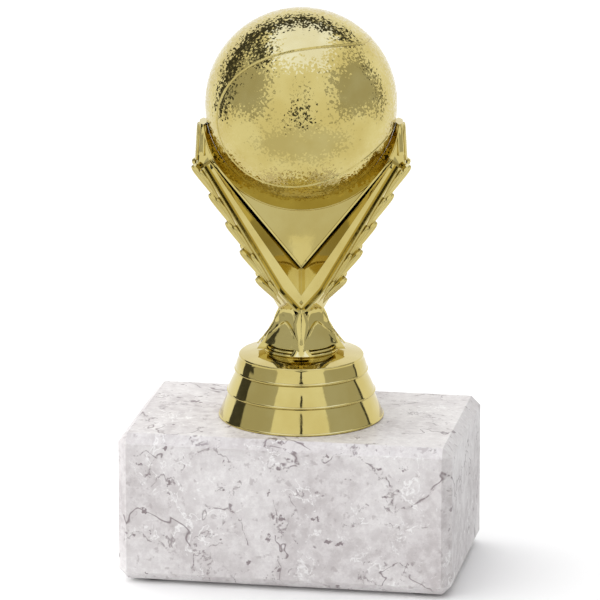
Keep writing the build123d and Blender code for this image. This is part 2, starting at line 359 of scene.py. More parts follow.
def broken_lines(nodes, where, scale, width, place_scale, threshold):
    """Short, curved, broken cracks: thin level lines of one noise, kept where another is high."""
    field = nodes.noise(where, scale, detail=4.0, roughness=0.55, distortion=0.5)
    off_line = nodes.math("ABSOLUTE", nodes.math("SUBTRACT", field, 0.5))
    line = nodes.remap(off_line, 0.0, width, 1.0, 0.0)
    place = nodes.noise(where, place_scale, detail=6.0, roughness=0.75)
    return nodes.math("MULTIPLY", line, nodes.remap(place, threshold, threshold + 0.05))


def white_marble():
    """Polished marble: clouded grey-white, with short mauve cracks, pale scars and fine grain."""
    material, nodes, shader, where = new_material("white_marble")
    billows = nodes.noise(where, 42.0, detail=6.0, roughness=0.62, distortion=0.8)
    clouds = nodes.remap(billows, 0.35, 0.66)
    body = nodes.mix_colour(clouds, (0.745, 0.722, 0.717, 1), (0.52, 0.483, 0.483, 1))
    mottle = nodes.remap(nodes.noise(where, 330.0, detail=4.0, roughness=0.7), 0.38, 0.62, 0.0, 0.5)
    mottled = nodes.mix_colour(mottle, body, (0.88, 0.86, 0.855, 1))
    grain = nodes.remap(nodes.noise(where, 1100.0, detail=3.0, roughness=0.7), 0.3, 0.7, 0.0, 0.5)
    grained = nodes.mix_colour(grain, mottled, (0.60, 0.56, 0.565, 1))
    flecks = nodes.remap(nodes.noise(where, 620.0, detail=2.0), 0.62, 0.72, 0.0, 0.5)
    flecked = nodes.mix_colour(flecks, grained, (0.40, 0.355, 0.36, 1))
    scars = broken_lines(nodes, where, 160.0, 0.025, 60.0, 0.53)
    scarred = nodes.mix_colour(nodes.math("MULTIPLY", scars, 0.6), flecked, (0.96, 0.955, 0.95, 1))
    cracks = broken_lines(nodes, where, 38.0, 0.009, 90.0, 0.48)
    fine_cracks = broken_lines(nodes, where, 95.0, 0.017, 130.0, 0.53)
    pits = nodes.remap(nodes.noise(where, 260.0, detail=3.0, roughness=0.6), 0.67, 0.71)
    small_marks = nodes.math("MAXIMUM", nodes.math("MULTIPLY", fine_cracks, 0.8), pits)
    dark = nodes.math("MAXIMUM", cracks, small_marks)
    colour = nodes.mix_colour(nodes.math("MULTIPLY", dark, 0.85), scarred, (0.20, 0.155, 0.165, 1))
    shader.inputs["Specular IOR Level"].default_value = 0.3
    shader.inputs["Coat Weight"].default_value = 0.03
    shader.inputs["Coat Roughness"].default_value = 0.15
    connect(
        nodes,
        shader,
        Base_Color=colour,
        Roughness=nodes.remap(clouds, 0.0, 1.0, 0.34, 0.44),
        Normal=nodes.bump(dark, 0.2, 0.0001),
    )
    return material


def black_felt():
    """Pressed felt: near-black, with tangled fibres and a dull sheen."""
    material, nodes, shader, where = new_material("black_felt")
    fibres = nodes.noise(where, 2600.0, detail=4.0, roughness=0.7, distortion=2.0)
    shader.inputs["Roughness"].default_value = 0.95
    shader.inputs["Sheen Weight"].default_value = 0.4
    connect(
        nodes,
        shader,
        Base_Color=nodes.mix_colour(fibres, (0.018, 0.018, 0.02, 1), (0.06, 0.06, 0.065, 1)),
        Normal=nodes.bump(fibres, 0.8, 0.0002),
    )
    return material


def zinc_steel():
    """Bright zinc plate over steel, faintly mottled."""
    material, nodes, shader, where = new_material("zinc_steel")
    mottle = nodes.noise(where, 700.0, detail=4.0)
    shader.inputs["Metallic"].default_value = 1.0
    connect(
        nodes,
        shader,
        Base_Color=nodes.mix_colour(mottle, (0.50, 0.52, 0.55, 1), (0.66, 0.67, 0.68, 1)),
        Roughness=nodes.remap(mottle, 0.3, 0.7, 0.24, 0.38),
        Normal=nodes.bump(mottle, 0.08, 0.0001),
    )
    return material


def turned_brass():
    """Brass with the fine rings that turning leaves round its axis."""
    material, nodes, shader, where = new_material("turned_brass")
    rings = nodes.add(
        "ShaderNodeTexWave",
        output="Fac",
        bands_direction="Z",
        inputs={"Vector": where, "Scale": 900.0},
    )
    shader.inputs["Metallic"].default_value = 1.0
    connect(
        nodes,
        shader,
        Base_Color=nodes.mix_colour(rings, (0.62, 0.44, 0.16, 1), (0.74, 0.56, 0.24, 1)),
        Roughness=nodes.remap(rings, 0.0, 1.0, 0.22, 0.32),
        Normal=nodes.bump(rings, 0.1, 0.00005),
    )
    return material


# ---------------------------------------------------------------- ball


# How strongly the seam winds, from 0 for a great circle, and how the ball is rolled
SEAM_BOW = 0.269
SEAM_TURN = (-112.2, -42.1, 106.6)
SEAM_HALF_WIDTH = 0.20
SEAM_DEPTH = 0.32
SEAM_SAMPLES = 1600
# The ball's mesh is divided once more within each of these distances of the seam.
SEAM_REFINEMENTS = (1.5, 1.0, 0.7)


def seam_points():
    """The one closed seam of a tennis ball, on the ball's surface."""
    turn = Euler([math.radians(a) for a in SEAM_TURN]).to_matrix()
    wide = 1 - SEAM_BOW
    points = []
    for i in range(SEAM_SAMPLES):
        t = 2 * math.pi * i / SEAM_SAMPLES
        curve = Vector(
            (
                wide * math.cos(t) + SEAM_BOW * math.cos(3 * t),
                wide * math.sin(t) - SEAM_BOW * math.sin(3 * t),
                2 * math.sqrt(wide * SEAM_BOW) * math.sin(2 * t),
            )
        )
        points.append(turn @ curve * BALL_RADIUS)
    return points


def seamed_ball():
    """A ball about its own centre, finely divided along the seam and grooved there."""
    seam = KDTree(SEAM_SAMPLES)
    for i, point in enumerate(seam_points()):
        seam.insert(point, i)
    seam.balance()
    bm = bmesh.new()
    bmesh.ops.create_icosphere(bm, subdivisions=6, radius=BALL_RADIUS)
    for reach in SEAM_REFINEMENTS:
        near = [e for e in bm.edges if min(seam.find(v.co)[2] for v in e.verts) < reach]
        bmesh.ops.subdivide_edges(bm, edges=near, cuts=1, use_grid_fill=True)
        bmesh.ops.triangulate(bm, faces=[f for f in bm.faces if len(f.verts) > 3])
    for vertex in bm.verts:
        outwards = vertex.co.normalized()
        distance = seam.find(outwards * BALL_RADIUS)[2]
        groove = SEAM_DEPTH * math.exp(-((distance / SEAM_HALF_WIDTH) ** 2))
        vertex.co = outwards * (BALL_RADIUS - groove)
    return bm


def ball_half(name, node, front, material):
    """One half of the ball, cut at the parting plane and closed there."""
    bm = seamed_ball()
    geometry = list(bm.verts) + list(bm.edges) + list(bm.faces)
    cut = bmesh.ops.bisect_plane(
        bm,
        geom=geometry,
        plane_co=(0, 0, 0),
        plane_no=(0, 1, 0),
        clear_outer=front,
        clear_inner=not front,
    )
    rim = [e for e in cut["geom_cut"] if isinstance(e, bmesh.types.BMEdge)]
    bmesh.ops.edgeloop_fill(bm, edges=rim)
    bmesh.ops.translate(bm, verts=bm.verts, vec=(0, 0, BALL_CENTRE_Z))
    return piece_from(bm, name, "figure", [node], material, smooth_angle=60.0)


# ---------------------------------------------------------------- foot and stem


def bead(centre, radius, from_angle, to_angle, steps=6):
    """Points of a small rounded edge, in degrees from straight out."""
    points = []
    for i in range(steps + 1):
        angle = math.radians(from_angle + (to_angle - from_angle) * i / steps)
        points.append((centre[0] + radius * math.cos(angle), centre[1] + radius * math.sin(angle)))
    return points


def foot_piece(material):
    """The bell foot: three flared tiers, each with a beaded lower edge, and a hollow inside."""
    hole = SPIGOT_RADIUS + SPIGOT_CLEARANCE
    profile = [(hole, FOOT_HEIGHT - FOOT_WALL), (hole, STEM_BOTTOM), (COLLAR_RADIUS, STEM_BOTTOM)]
    rim = (FOOT_TOP_RADIUS - FOOT_BEAD, FOOT_HEIGHT - FOOT_BEAD + FOOT_RIM_RISE)
    profile += bead(rim, FOOT_BEAD, 100, -15)
    start = (FOOT_TOP_RADIUS, FOOT_HEIGHT - 2 * FOOT_BEAD)
    for lower_radius, lower_z in FOOT_TIERS:
        centre = (lower_radius - FOOT_BEAD, lower_z + FOOT_BEAD)
        end = (lower_radius - FOOT_BEAD_INSET, lower_z + 2 * FOOT_BEAD)
        profile += arc_points(start, end, FOOT_TIER_BULGE)
        profile += bead(centre, FOOT_BEAD, 40, -90)
        start = (lower_radius - FOOT_TIER_STEP - FOOT_TIER_TUCK, lower_z - FOOT_TIER_TUCK)
    outer_radius = FOOT_TIERS[-1][0]
    profile += [(outer_radius - FOOT_WALL, 0), (FOOT_TOP_RADIUS - FOOT_WALL, FOOT_HEIGHT - FOOT_WALL)]
    bm = bmesh.new()
    add_lathe(bm, profile)
    return piece_from(bm, "tiered_foot_gold", "figure", ["tiered_foot"], material)


# The waisted core, upwards: (height, radius)
STEM_CORE = [(18.4, 7.5), (19.5, 6.8), (21.0, 6.0), (23.0, 5.2), (24.5, 5.0), (26.0, 4.6), (30.0, 4.6)]
# Below its lowest point the core spreads by this much for each unit down.
CORE_FLARE = 0.75
NECK_RINGS = 3
NECK_RING_BEAD = 0.35
NECK_RING_STEP = 0.45
NECK_RING_PITCH = 0.74
NECK_RING_GAP = 0.01
# Degrees round from the front
PETAL_TURNS = (43, 137, 223, 317)
SIDE_PETAL_TURNS = (90, 270)
PETAL_EDGE_ROUND = 0.1
PETAL_RIM = 0.5
PETAL_SINK = 0.28
# The sunk middle slopes up to the rim over this width.
PETAL_SLOPE = 0.3
# Powers that shape a petal: how blunt its sides are, and how its tip closes
PETAL_SIDES = 1.8
PETAL_TIP = 0.75
# A petal stops just short of its point, and its rows crowd together towards it.
PETAL_LENGTH_SHARE = 0.992
PETAL_CROWDING = 1.4
# How far a petal's root is buried in the core, and how far down
PETAL_ROOT_DEPTH = 0.4
PETAL_ROOT_DROP = 0.3
# How much of the way each petal goes from wrapping the core to standing flat against it
PETAL_FLATNESS = 0.5


def core_radius(z):
    """Radius of the stem's core at a height."""
    if z <= STEM_CORE[0][0]:
        return STEM_CORE[0][1] + CORE_FLARE * (STEM_CORE[0][0] - z)
    for (low, low_radius), (high, high_radius) in zip(STEM_CORE, STEM_CORE[1:]):
        if z <= high:
            return low_radius + (high_radius - low_radius) * (z - low) / (high - low)
    return STEM_CORE[-1][1]


def add_petal(bm, turn, low, high, spread, lift, tip_lift, rows=20, columns=20):
    """A pointed lotus petal wrapped on the stem: sunk inside a raised rim."""
    sections = []
    for i in range(rows + 1):
        u = PETAL_LENGTH_SHARE * (1 - (1 - i / rows) ** PETAL_CROWDING)
        z = low + (high - low) * u
        half_turn = math.radians(spread) * (1 - u**PETAL_SIDES) ** PETAL_TIP
        radius = core_radius(z) + lift + (tip_lift - lift) * u * u
        section = []
        for j in range(columns + 1):
            v = math.sin(math.pi / 2 * (1 - 2 * j / columns))
            from_edge = (1 - abs(v)) * half_turn * radius
            sunk = PETAL_SINK * min(1.0, max(0.0, (from_edge - PETAL_RIM) / PETAL_SLOPE))
            angle = math.radians(turn) + v * half_turn
            out = radius * (1 + PETAL_FLATNESS * (1 / math.cos(v * half_turn) - 1)) - sunk
            section.append((out * math.sin(angle), -out * math.cos(angle), z))
        for v in (-1, 0, 1):
            angle = math.radians(turn) + v * half_turn
            inside = core_radius(z) - PETAL_ROOT_DEPTH
            section.append((inside * math.sin(angle), -inside * math.cos(angle), z - PETAL_ROOT_DROP))
        sections.append(section)
    add_loft(bm, sections)


# Half widths of the vase-shaped middle petal: (height, half width)
SPINDLE = [
    (17.0, 2.7),
    (17.8, 2.0),
    (19.2, 1.4),
    (20.6, 1.35),
    (22.2, 1.7),
    (24.0, 1.9),
    (25.4, 1.5),
    (26.8, 0.8),
]
SPINDLE_STAND_OFF = 0.9
SPINDLE_HALF_DEPTH = 0.95
SPINDLE_SIDES = 24


def add_spindle(bm, front):
    """The slim vase-shaped petal in the middle of the stem's front or back."""
    sections = []
    for z, half_width in SPINDLE:
        stand_off = core_radius(z) + SPINDLE_STAND_OFF
        ring = []
        for i in range(SPINDLE_SIDES):
            angle = 2 * math.pi * i / SPINDLE_SIDES
            depth = stand_off + SPINDLE_HALF_DEPTH * math.sin(angle)
            ring.append((half_width * math.cos(angle), front * depth, z))
        sections.append(ring)
    add_loft(bm, sections)


def stem_piece(material):
    """The lotus stem: spigot, stacked neck rings, waisted core and two tiers of petals."""
    profile = [(0, SPIGOT_BOTTOM), (SPIGOT_RADIUS, SPIGOT_BOTTOM), (SPIGOT_RADIUS, STEM_BOTTOM)]
    ring_radius = COLLAR_RADIUS
    ring_z = STEM_BOTTOM
    for _ in range(NECK_RINGS):
        centre = (ring_radius - NECK_RING_BEAD, ring_z + NECK_RING_BEAD + NECK_RING_GAP)
        profile += bead(centre, NECK_RING_BEAD, -90, 90)
        ring_radius -= NECK_RING_STEP
        ring_z += NECK_RING_PITCH
    profile += [(radius, z) for z, radius in STEM_CORE[:-2]]
    profile += [(STEM_CORE[-2][1], STEM_TOP), (0, STEM_TOP)]
    bm = bmesh.new()
    add_lathe(bm, profile, segments=128)
    for turn in PETAL_TURNS:
        add_petal(bm, turn, low=18.3, high=24.3, spread=40, lift=0.9, tip_lift=0.9)
        add_petal(bm, turn, low=19.5, high=30.0, spread=43, lift=0.7, tip_lift=0.7)
    for turn in SIDE_PETAL_TURNS:
        add_petal(bm, turn, low=17.0, high=23.4, spread=15, lift=2.2, tip_lift=0.8)
    bevel_sharp_edges(bm, PETAL_EDGE_ROUND)
    for front in (-1, 1):
        add_spindle(bm, front)
    return piece_from(bm, "lotus_stem_gold", "figure", ["lotus_stem"], material)


# ---------------------------------------------------------------- cradle


# Across the flank of an arm, from the face's outer line outwards: (distance, depth)
FLANK = [(0.65, 6.75), (1.3, 7.3), (1.6, 7.3), (1.95, 6.5)]
EDGE_DEPTH = 1.9
ARM_STATIONS = 26
# The lip at the foot of the V takes this share of the arm's length, before its edge begins.
LIP_SHARE = 0.12
# Share of the face's outer line that runs along the lip
FACE_START = 0.05
# The face's outer line bends outwards this share of the way up, by this much.
FACE_BEND = 0.137
FACE_SWELL = 1.2
INNER_BOW = 0.25
# From the shield's lower edge to the bead along it, on the right: (across, forwards, up)
SHIELD_BEAD = (-0.28, -0.28, 0.26)
# A narrow gutter runs along that bead. It goes back this far behind the shield's surface,
# and closes over the last share of the arm.
GUTTER_DEPTH = 0.65
GUTTER_CLOSING = 0.3
GUTTER_SETBACK = 0.08
# The lower an outer leaf is on the arm, the further its tip stands out. The highest ones
# stand out by the least share of it.
TIP_REACH = 1.4
LEAST_REACH = 0.15
LEAF_COUNT = 5
# Shares of the arm: from one leaf to the next, and from its foot to the lowest outer tip
LEAF_PITCH = 0.2
FIRST_LEAF_TIP = 0.235
# Every leaf is this many pitches long, so that each overlaps the next one's base.
LEAF_LENGTH = 1.3
# Outer leaves: (in from the arm's edge, proud of the flank)
OUTER_TIP = (0.25, 0.75)
OUTER_BASE = (1.2, -0.45)
# Inner leaves: (out from the face, proud of the flank), and how far they lag behind
INNER_TIP = (2.5, 0.65)
INNER_BASE = (2.3, -0.3)
INNER_TIP_LAG = 0.04
INNER_BASE_LAG = 0.02
CRADLE_EDGE_ROUND = 0.2
LEAF_EDGE_ROUND = 0.08


def panel_depth(x, z):
    """How far the shield stands in front of the parting plane: it curls forwards upwards."""
    share = (z - PANEL_FOOT[1]) / (PANEL_HEAD[1] - PANEL_FOOT[1])
    depth = PANEL_FOOT_DEPTH + PANEL_LEAN * share + PANEL_CURL * share * share
    return depth - x * x / (2 * PANEL_CROWN_RADIUS)


def along_arm(t):
    """Share of the whole V's side at t, which is 0 where the edge begins and 1 at the head."""
    return (t + LIP_SHARE) / (1 + LIP_SHARE)


def panel_line(t):
    """Lower edge of the shield, on the right."""
    x, z = between(PANEL_FOOT, PANEL_HEAD, along_arm(t))
    return Vector((x, -panel_depth(x, z), z))


def inner_line(t):
    """Inner edge of the V's front face, which bows out a little."""
    share = along_arm(t)
    x, z = between(INNER_FOOT, PANEL_HEAD, share)
    return Vector((x + INNER_BOW * 4 * share * (1 - share), -FACE_DEPTH, z))


def face_line(t):
    """Outer edge of the V's front face, which swells out near its foot."""
    if t > 0:
        share = FACE_START + (1 - FACE_START) * t
    else:
        share = FACE_START * (1 + t / LIP_SHARE)
    x, z = between(FACE_FOOT, FACE_HEAD, share)
    swell = min(share / FACE_BEND, (1 - share) / (1 - FACE_BEND))
    return Vector((x + FACE_SWELL * swell, -FACE_DEPTH, z))


def edge_line(t):
    """Outline of the V without its leaves: along the lip's bottom, then up the arm."""
    if t > 0:
        x, z = between(EDGE_FOOT, EDGE_HEAD, t)
    else:
        x, z = between(LIP_BOTTOM, EDGE_FOOT, 1 + t / LIP_SHARE)
    return Vector((x, -EDGE_DEPTH, z))


def flank_point(t, distance, lift=0.0):
    """Point of the flank's surface, t up the arm and a distance out from the face line."""
    face = face_line(t)
    out = edge_line(t) - face
    out.y = 0
    length = out.length
    stops = [(0.0, FACE_DEPTH)] + FLANK + [(length, EDGE_DEPTH)]
    depth = EDGE_DEPTH
    for (low, low_depth), (high, high_depth) in zip(stops, stops[1:]):
        if low <= distance <= high:
            depth = low_depth + (high_depth - low_depth) * (distance - low) / (high - low)
    point = face + out * (distance / length)
    return Vector((point.x, -depth - lift, point.z))


def edge_distance(t):
    """Distance from the face line to the arm's edge."""
    out = edge_line(t) - face_line(t)
    return Vector((out.x, out.z)).length


def arm_section(t, side):
    """Closed cross-section of the V at t on one side: wall, face, groove, ridge, leaf bed."""
    panel = panel_line(t)
    bead_x, bead_rise, bead_z = SHIELD_BEAD
    bead = panel + Vector((bead_x, bead_rise, bead_z))
    edge = edge_line(t)
    drop = GUTTER_DEPTH * min(1.0, (1 - along_arm(t)) / GUTTER_CLOSING)
    section = [(bead.x, 0, bead.z), bead]
    section += [panel + Vector((GUTTER_SETBACK, bead_rise, 0))]
    section += [panel + Vector((2 * GUTTER_SETBACK, drop, 0))]
    section += [inner_line(t), face_line(t)]
    section += [flank_point(t, distance) for distance, _ in FLANK]
    section += [edge, (edge.x, 0, edge.z)]
    return [(side * x, y, z) for x, y, z in section]


def add_arms(bm):
    """Both arms of the V in one sweep, from the left head down to the lip and up again."""
    steps = [i / ARM_STATIONS for i in range(ARM_STATIONS + 1)]
    stations = [share * (1 + LIP_SHARE) - LIP_SHARE for share in steps]
    left = [arm_section(t, -1) for t in reversed(stations)]
    left[-1][:] = [(0.0, y, z) for _, y, z in left[-1]]
    right = [arm_section(t, 1) for t in stations[1:]]
    add_loft(bm, left + right)


LIP_STUD_CENTRE_Z = 29.5
LIP_STUD_HEIGHT = 0.55
LIP_STUD_ROOT = 0.2
# Corners of its base round the centre: (x, z)
LIP_STUD_CORNERS = [(0, 1.0), (0.7, 0), (0, -0.8), (-0.7, 0)]


def add_lip_stud(bm):
    """A tiny diamond point in the middle of the lip."""
    back = -FACE_DEPTH + LIP_STUD_ROOT
    base = [bm.verts.new((x, back, LIP_STUD_CENTRE_Z + z)) for x, z in LIP_STUD_CORNERS]
    point = bm.verts.new((0, -FACE_DEPTH - LIP_STUD_HEIGHT, LIP_STUD_CENTRE_Z))
    bm.faces.new(base)
    for i in range(4):
        bm.faces.new((base[i], base[(i + 1) % 4], point))


SHIELD_COLUMNS = 112
# Up to this share of the columns the shield lies over the V; past it are the wings.
CORNER_COLUMN = 0.79
SHIELD_ROWS = 7
SEAT_ROWS = 4
# The wing's outline reaches its outer foot after this share of the wing's columns.
WING_FOOT_SHARE = 0.3
WING_ROOT_DEPTH = 5.1
WING_EDGE_DEPTH = 1.7
# The wing's section is a quarter wave raised to this power, which fills it out a little.
WING_FULLNESS = 0.8
# Above this height the seat's rim is drawn in towards the wing's top.
RIM_TURN_Z = 62.0
# The V's corner is taken this angle short of the panel's head, in radians.
CORNER_MARGIN = 0.01
# The beaded rim of the seat: (distance outwards from the rim, how far it stands forward)
RIM_BEAD = [(0.52, 0.0), (0.38, 0.2), (0.14, 0.24), (0.0, 0.1)]


def rim_bearings():
    """Bearings round the ball, from straight down, of the V's corner and of the wing's top."""
    corner = math.asin(PANEL_HEAD[0] / SEAT_RIM_RADIUS) - CORNER_MARGIN
    return corner, math.acos((BALL_CENTRE_Z - WING_TOP_Z) / SEAT_RIM_TOP_RADIUS)


def shield_rim(bearing):
    """Rim of the seat at a bearing round the ball from straight down: (x, z)."""
    share = min(1.0, abs(bearing) / rim_bearings()[1])
    radius = SEAT_RIM_RADIUS + (SEAT_RIM_TOP_RADIUS - SEAT_RIM_RADIUS) * share**3
    return radius * math.sin(bearing), BALL_CENTRE_Z - radius * math.cos(bearing)


def shield_outer(share, x):
    """Outer outline of the shield and wing: along the V's edge, out to the wing, then up."""
    if share <= CORNER_COLUMN:
        z = between(PANEL_FOOT, PANEL_HEAD, x / PANEL_HEAD[0])[1]
        return x, z, panel_depth(x, z)
    past = (share - CORNER_COLUMN) / (1 - CORNER_COLUMN)
    if past < WING_FOOT_SHARE:
        outwards = past / WING_FOOT_SHARE
        outer_x, z = between(PANEL_HEAD, WING_OUTER_FOOT, outwards)
        return outer_x, z, WING_ROOT_DEPTH + (WING_EDGE_DEPTH - WING_ROOT_DEPTH) * outwards
    top = (WING_OUTER_TOP_X, WING_TOP_Z)
    upwards = (past - WING_FOOT_SHARE) / (1 - WING_FOOT_SHARE)
    outer_x, z = between(WING_OUTER_FOOT, top, upwards)
    return outer_x, z, WING_EDGE_DEPTH


def rim_depth(x, z):
    """Depth of the seat's rim: as the shield, then drawn in towards the wing's top."""
    if z < RIM_TURN_Z:
        return panel_depth(x, z)
    share = (z - RIM_TURN_Z) / (WING_TOP_Z - RIM_TURN_Z)
    return panel_depth(x, RIM_TURN_Z) * (1 - share) + WING_TOP_DEPTH * share


def shield_skin(part, rim, outline):
    """Front skin of the shield in one column, from its outer outline in to the seat's rim."""
    x, z, depth = rim
    outer_x, outer_z, outer_depth = outline
    width = math.hypot(x - outer_x, z - outer_z)
    bead_reach = min(1.0, 0.5 * width / RIM_BEAD[0][0])
    bead_start = 1 - RIM_BEAD[0][0] * bead_reach / width
    stops = [(bead_start * k / SHIELD_ROWS, 0.0) for k in range(SHIELD_ROWS)]
    stops += [(1 - distance * bead_reach / width, rise) for distance, rise in RIM_BEAD]
    skin = []
    for u, rise in stops:
        px = outer_x + (x - outer_x) * u
        pz = outer_z + (z - outer_z) * u
        if part > CORNER_COLUMN:
            wave = math.sin(math.pi / 2 * u) ** WING_FULLNESS
            py = outer_depth + (depth - outer_depth) * wave
        elif z < RIM_TURN_Z:
            py = panel_depth(px, pz)
        else:
            py = outer_depth + (depth - outer_depth) * u
        skin.append((px, -py - rise * bead_reach, pz))
    return skin


def seat_band(bearing, depth):
    """The seat in one column: from the rim's back edge along the ball to the parting plane."""
    contact = depth - SEAT_BAND_DEPTH
    band = []
    for k in range(SEAT_ROWS + 1):
        back = contact * (1 - k / SEAT_ROWS)
        radius = math.sqrt((BALL_RADIUS + SEAT_GAP) ** 2 - back * back)
        across = radius * math.sin(bearing)
        band.append((across, -back, BALL_CENTRE_Z - radius * math.cos(bearing)))
    return band


def add_shield(bm):
    """Smooth shield under the ball and both wings beside it, with the seat along the rim."""
    corner, top = rim_bearings()
    sections = []
    for i in range(SHIELD_COLUMNS + 1):
        share = 2 * i / SHIELD_COLUMNS - 1
        side = math.copysign(1.0, share)
        part = abs(share)
        if part <= CORNER_COLUMN:
            bearing = corner * part / CORNER_COLUMN
        else:
            bearing = corner + (top - corner) * (part - CORNER_COLUMN) / (1 - CORNER_COLUMN)
        x, z = shield_rim(bearing)
        depth = rim_depth(x, z)
        outline = shield_outer(part, min(x, PANEL_HEAD[0]))
        section = [(outline[0], 0, outline[1])]
        section += shield_skin(part, (x, z, depth), outline)
        section += seat_band(bearing, depth)
        sections.append([(side * px, py, pz) for px, py, pz in section])
    add_loft(bm, sections)


# A leaf's rows crowd together towards its tip by this power.
LEAF_CROWDING = 1.8
# Shares of the leaf's full height, at its root and along its edges
LEAF_ROOT_HEIGHT = 0.35
LEAF_EDGE_HEIGHT = 0.25
# The midrib's depth as a share of the crown, and its width as a share of half the leaf's
MIDRIB_DEPTH = 0.45
MIDRIB_WIDTH = 0.22


def leaf_row(columns):
    """Height of a leaf across its width, from 1 to -1: crowned, with a sunk midrib."""
    row = []
    for j in range(columns + 1):
        v = 1 - 2 * j / columns
        midrib = MIDRIB_DEPTH * math.exp(-((v / MIDRIB_WIDTH) ** 2))
        crown = (1 - abs(v) ** 3) * (1 - midrib)
        row.append((v, LEAF_EDGE_HEIGHT + (1 - LEAF_EDGE_HEIGHT) * crown))
    return row


def add_leaf(bm, base, tip, facing, width, height, slim=0.45, blunt=8.0, rows=12, columns=8):
    """A closed leaf, widest near its blunt tip; slim is its width at the base as a share."""
    base = Vector(base)
    axis = Vector(tip) - base
    side = axis.cross(Vector(facing)).normalized()
    up = side.cross(axis).normalized()
    sections = []
    for i in range(rows):
        u = 1 - (1 - i / rows) ** LEAF_CROWDING
        half = width / 2 * (slim + (1 - slim) * u**0.8) * math.sqrt(1 - u**blunt)
        swell = LEAF_ROOT_HEIGHT + (1 - LEAF_ROOT_HEIGHT) * u
        rise = height * swell * math.sqrt(1 - u ** (2 * blunt))
        centre = base + axis * u
        section = [centre + side * v * half + up * rise * share for v, share in leaf_row(columns)]
        section.append(centre - side * half - up * height)
        section.append(centre + side * half - up * height)
        sections.append(section)
    add_loft(bm, sections)


def add_arm_leaves(bm):
    """Two rows of leaves up the right arm, each leaf's tip proud of the next one's base."""
    for k in range(LEAF_COUNT):
        tip_t = FIRST_LEAF_TIP + LEAF_PITCH * k
        base_t = tip_t - LEAF_LENGTH * LEAF_PITCH
        reach = TIP_REACH * max(LEAST_REACH, 1 - 2 * tip_t * tip_t)
        inset, lift = OUTER_TIP
        tip = flank_point(tip_t, edge_distance(tip_t) - inset, lift) + Vector((reach, 0, 0))
        inset, lift = OUTER_BASE
        base = flank_point(base_t, edge_distance(base_t) - inset, lift)
        add_leaf(bm, base, tip, facing=(0.66, -0.68, -0.38), width=2.7, height=0.8)
        inner_tip = flank_point(tip_t - INNER_TIP_LAG, *INNER_TIP)
        inner_base = flank_point(base_t - INNER_BASE_LAG, *INNER_BASE)
        add_leaf(bm, inner_base, inner_tip, facing=(0.5, -0.82, -0.28), width=1.6, height=0.7)


def add_wing_leaves(bm):
    """Upright blunt leaves at the top of the wing, two to each quarter."""
    front_tip = (23.05, -2.5, WING_TOP_Z)
    side_tip = (24.2, -1.0, WING_TOP_Z - 0.4)
    shape = {"width": 1.9, "slim": 0.8, "blunt": 14.0}
    add_leaf(bm, (23.6, -3.7, 64.5), front_tip, facing=(0.62, -0.78, 0.05), height=0.5, **shape)
    add_leaf(bm, (24.95, -1.3, 63.0), side_tip, facing=(1.0, -0.2, 0.05), height=0.4, **shape)


def mirror_x(bm):
    """Adds the left-hand twin of everything in the mesh so far."""
    twin = bmesh.ops.duplicate(bm, geom=bm.verts[:] + bm.edges[:] + bm.faces[:])["geom"]
    vertices = [v for v in twin if isinstance(v, bmesh.types.BMVert)]
    bmesh.ops.scale(bm, vec=(-1, 1, 1), verts=vertices)
    bmesh.ops.reverse_faces(bm, faces=[f for f in twin if isinstance(f, bmesh.types.BMFace)])


def cradle_mesh():
    """Front half of the cradle: the hard-edged body, bevelled, then the leaves of both sides."""
    body = bmesh.new()
    add_arms(body)
    add_lip_stud(body)
    add_shield(body)
    bevel_sharp_edges(body, CRADLE_EDGE_ROUND)
    leaves = bmesh.new()
    add_arm_leaves(leaves)
    add_wing_leaves(leaves)
    mirror_x(leaves)
    bevel_sharp_edges(leaves, LEAF_EDGE_ROUND)
    mesh = bpy.data.meshes.new("leaves")
    leaves.to_mesh(mesh)
    leaves.free()
    body.from_mesh(mesh)
    bpy.data.meshes.remove(mesh)
    return body


def cradle_half(name, node, front, material):
    """The front or the rear half of the cradle; the rear is the front's mirror image."""
    bm = cradle_mesh()
    if not front:
        bmesh.ops.scale(bm, vec=(1, -1, 1), verts=bm.verts)
        bmesh.ops.reverse_faces(bm, faces=bm.faces)
    return piece_from(bm, name, "figure", [node], material)


# ---------------------------------------------------------------- stage


CAMERA_AZIMUTH = FIGURE_TURN
CAMERA_ELEVATION = 15.0
CAMERA_DISTANCE = 1.4
# What the picture spans at the trophy, from side to side
FRAME_WIDTH = 0.14286
LOOK_AT = Vector((-0.0003, 0.0, 0.065))
SENSOR = 36.0


def add_camera():
    """A long lens at the height and side that show a little of the block's top and right."""
    azimuth = math.radians(CAMERA_AZIMUTH)
    elevation = math.radians(CAMERA_ELEVATION)
    towards = Vector(
        (
            math.cos(elevation) * math.sin(azimuth),
            -math.cos(elevation) * math.cos(azimuth),
            math.sin(elevation),
        )
    )
    data = bpy.data.cameras.new("camera")
    data.sensor_width = SENSOR
    data.lens = SENSOR * CAMERA_DISTANCE / FRAME_WIDTH
    data.clip_end = 20.0
    camera = bpy.data.objects.new("camera", data)
    camera.location = LOOK_AT + towards * CAMERA_DISTANCE
    camera.rotation_euler = towards.to_track_quat("Z", "Y").to_euler()
    bpy.context.scene.collection.objects.link(camera)
    bpy.context.scene.camera = camera


FLOOR_HALF = 3.0


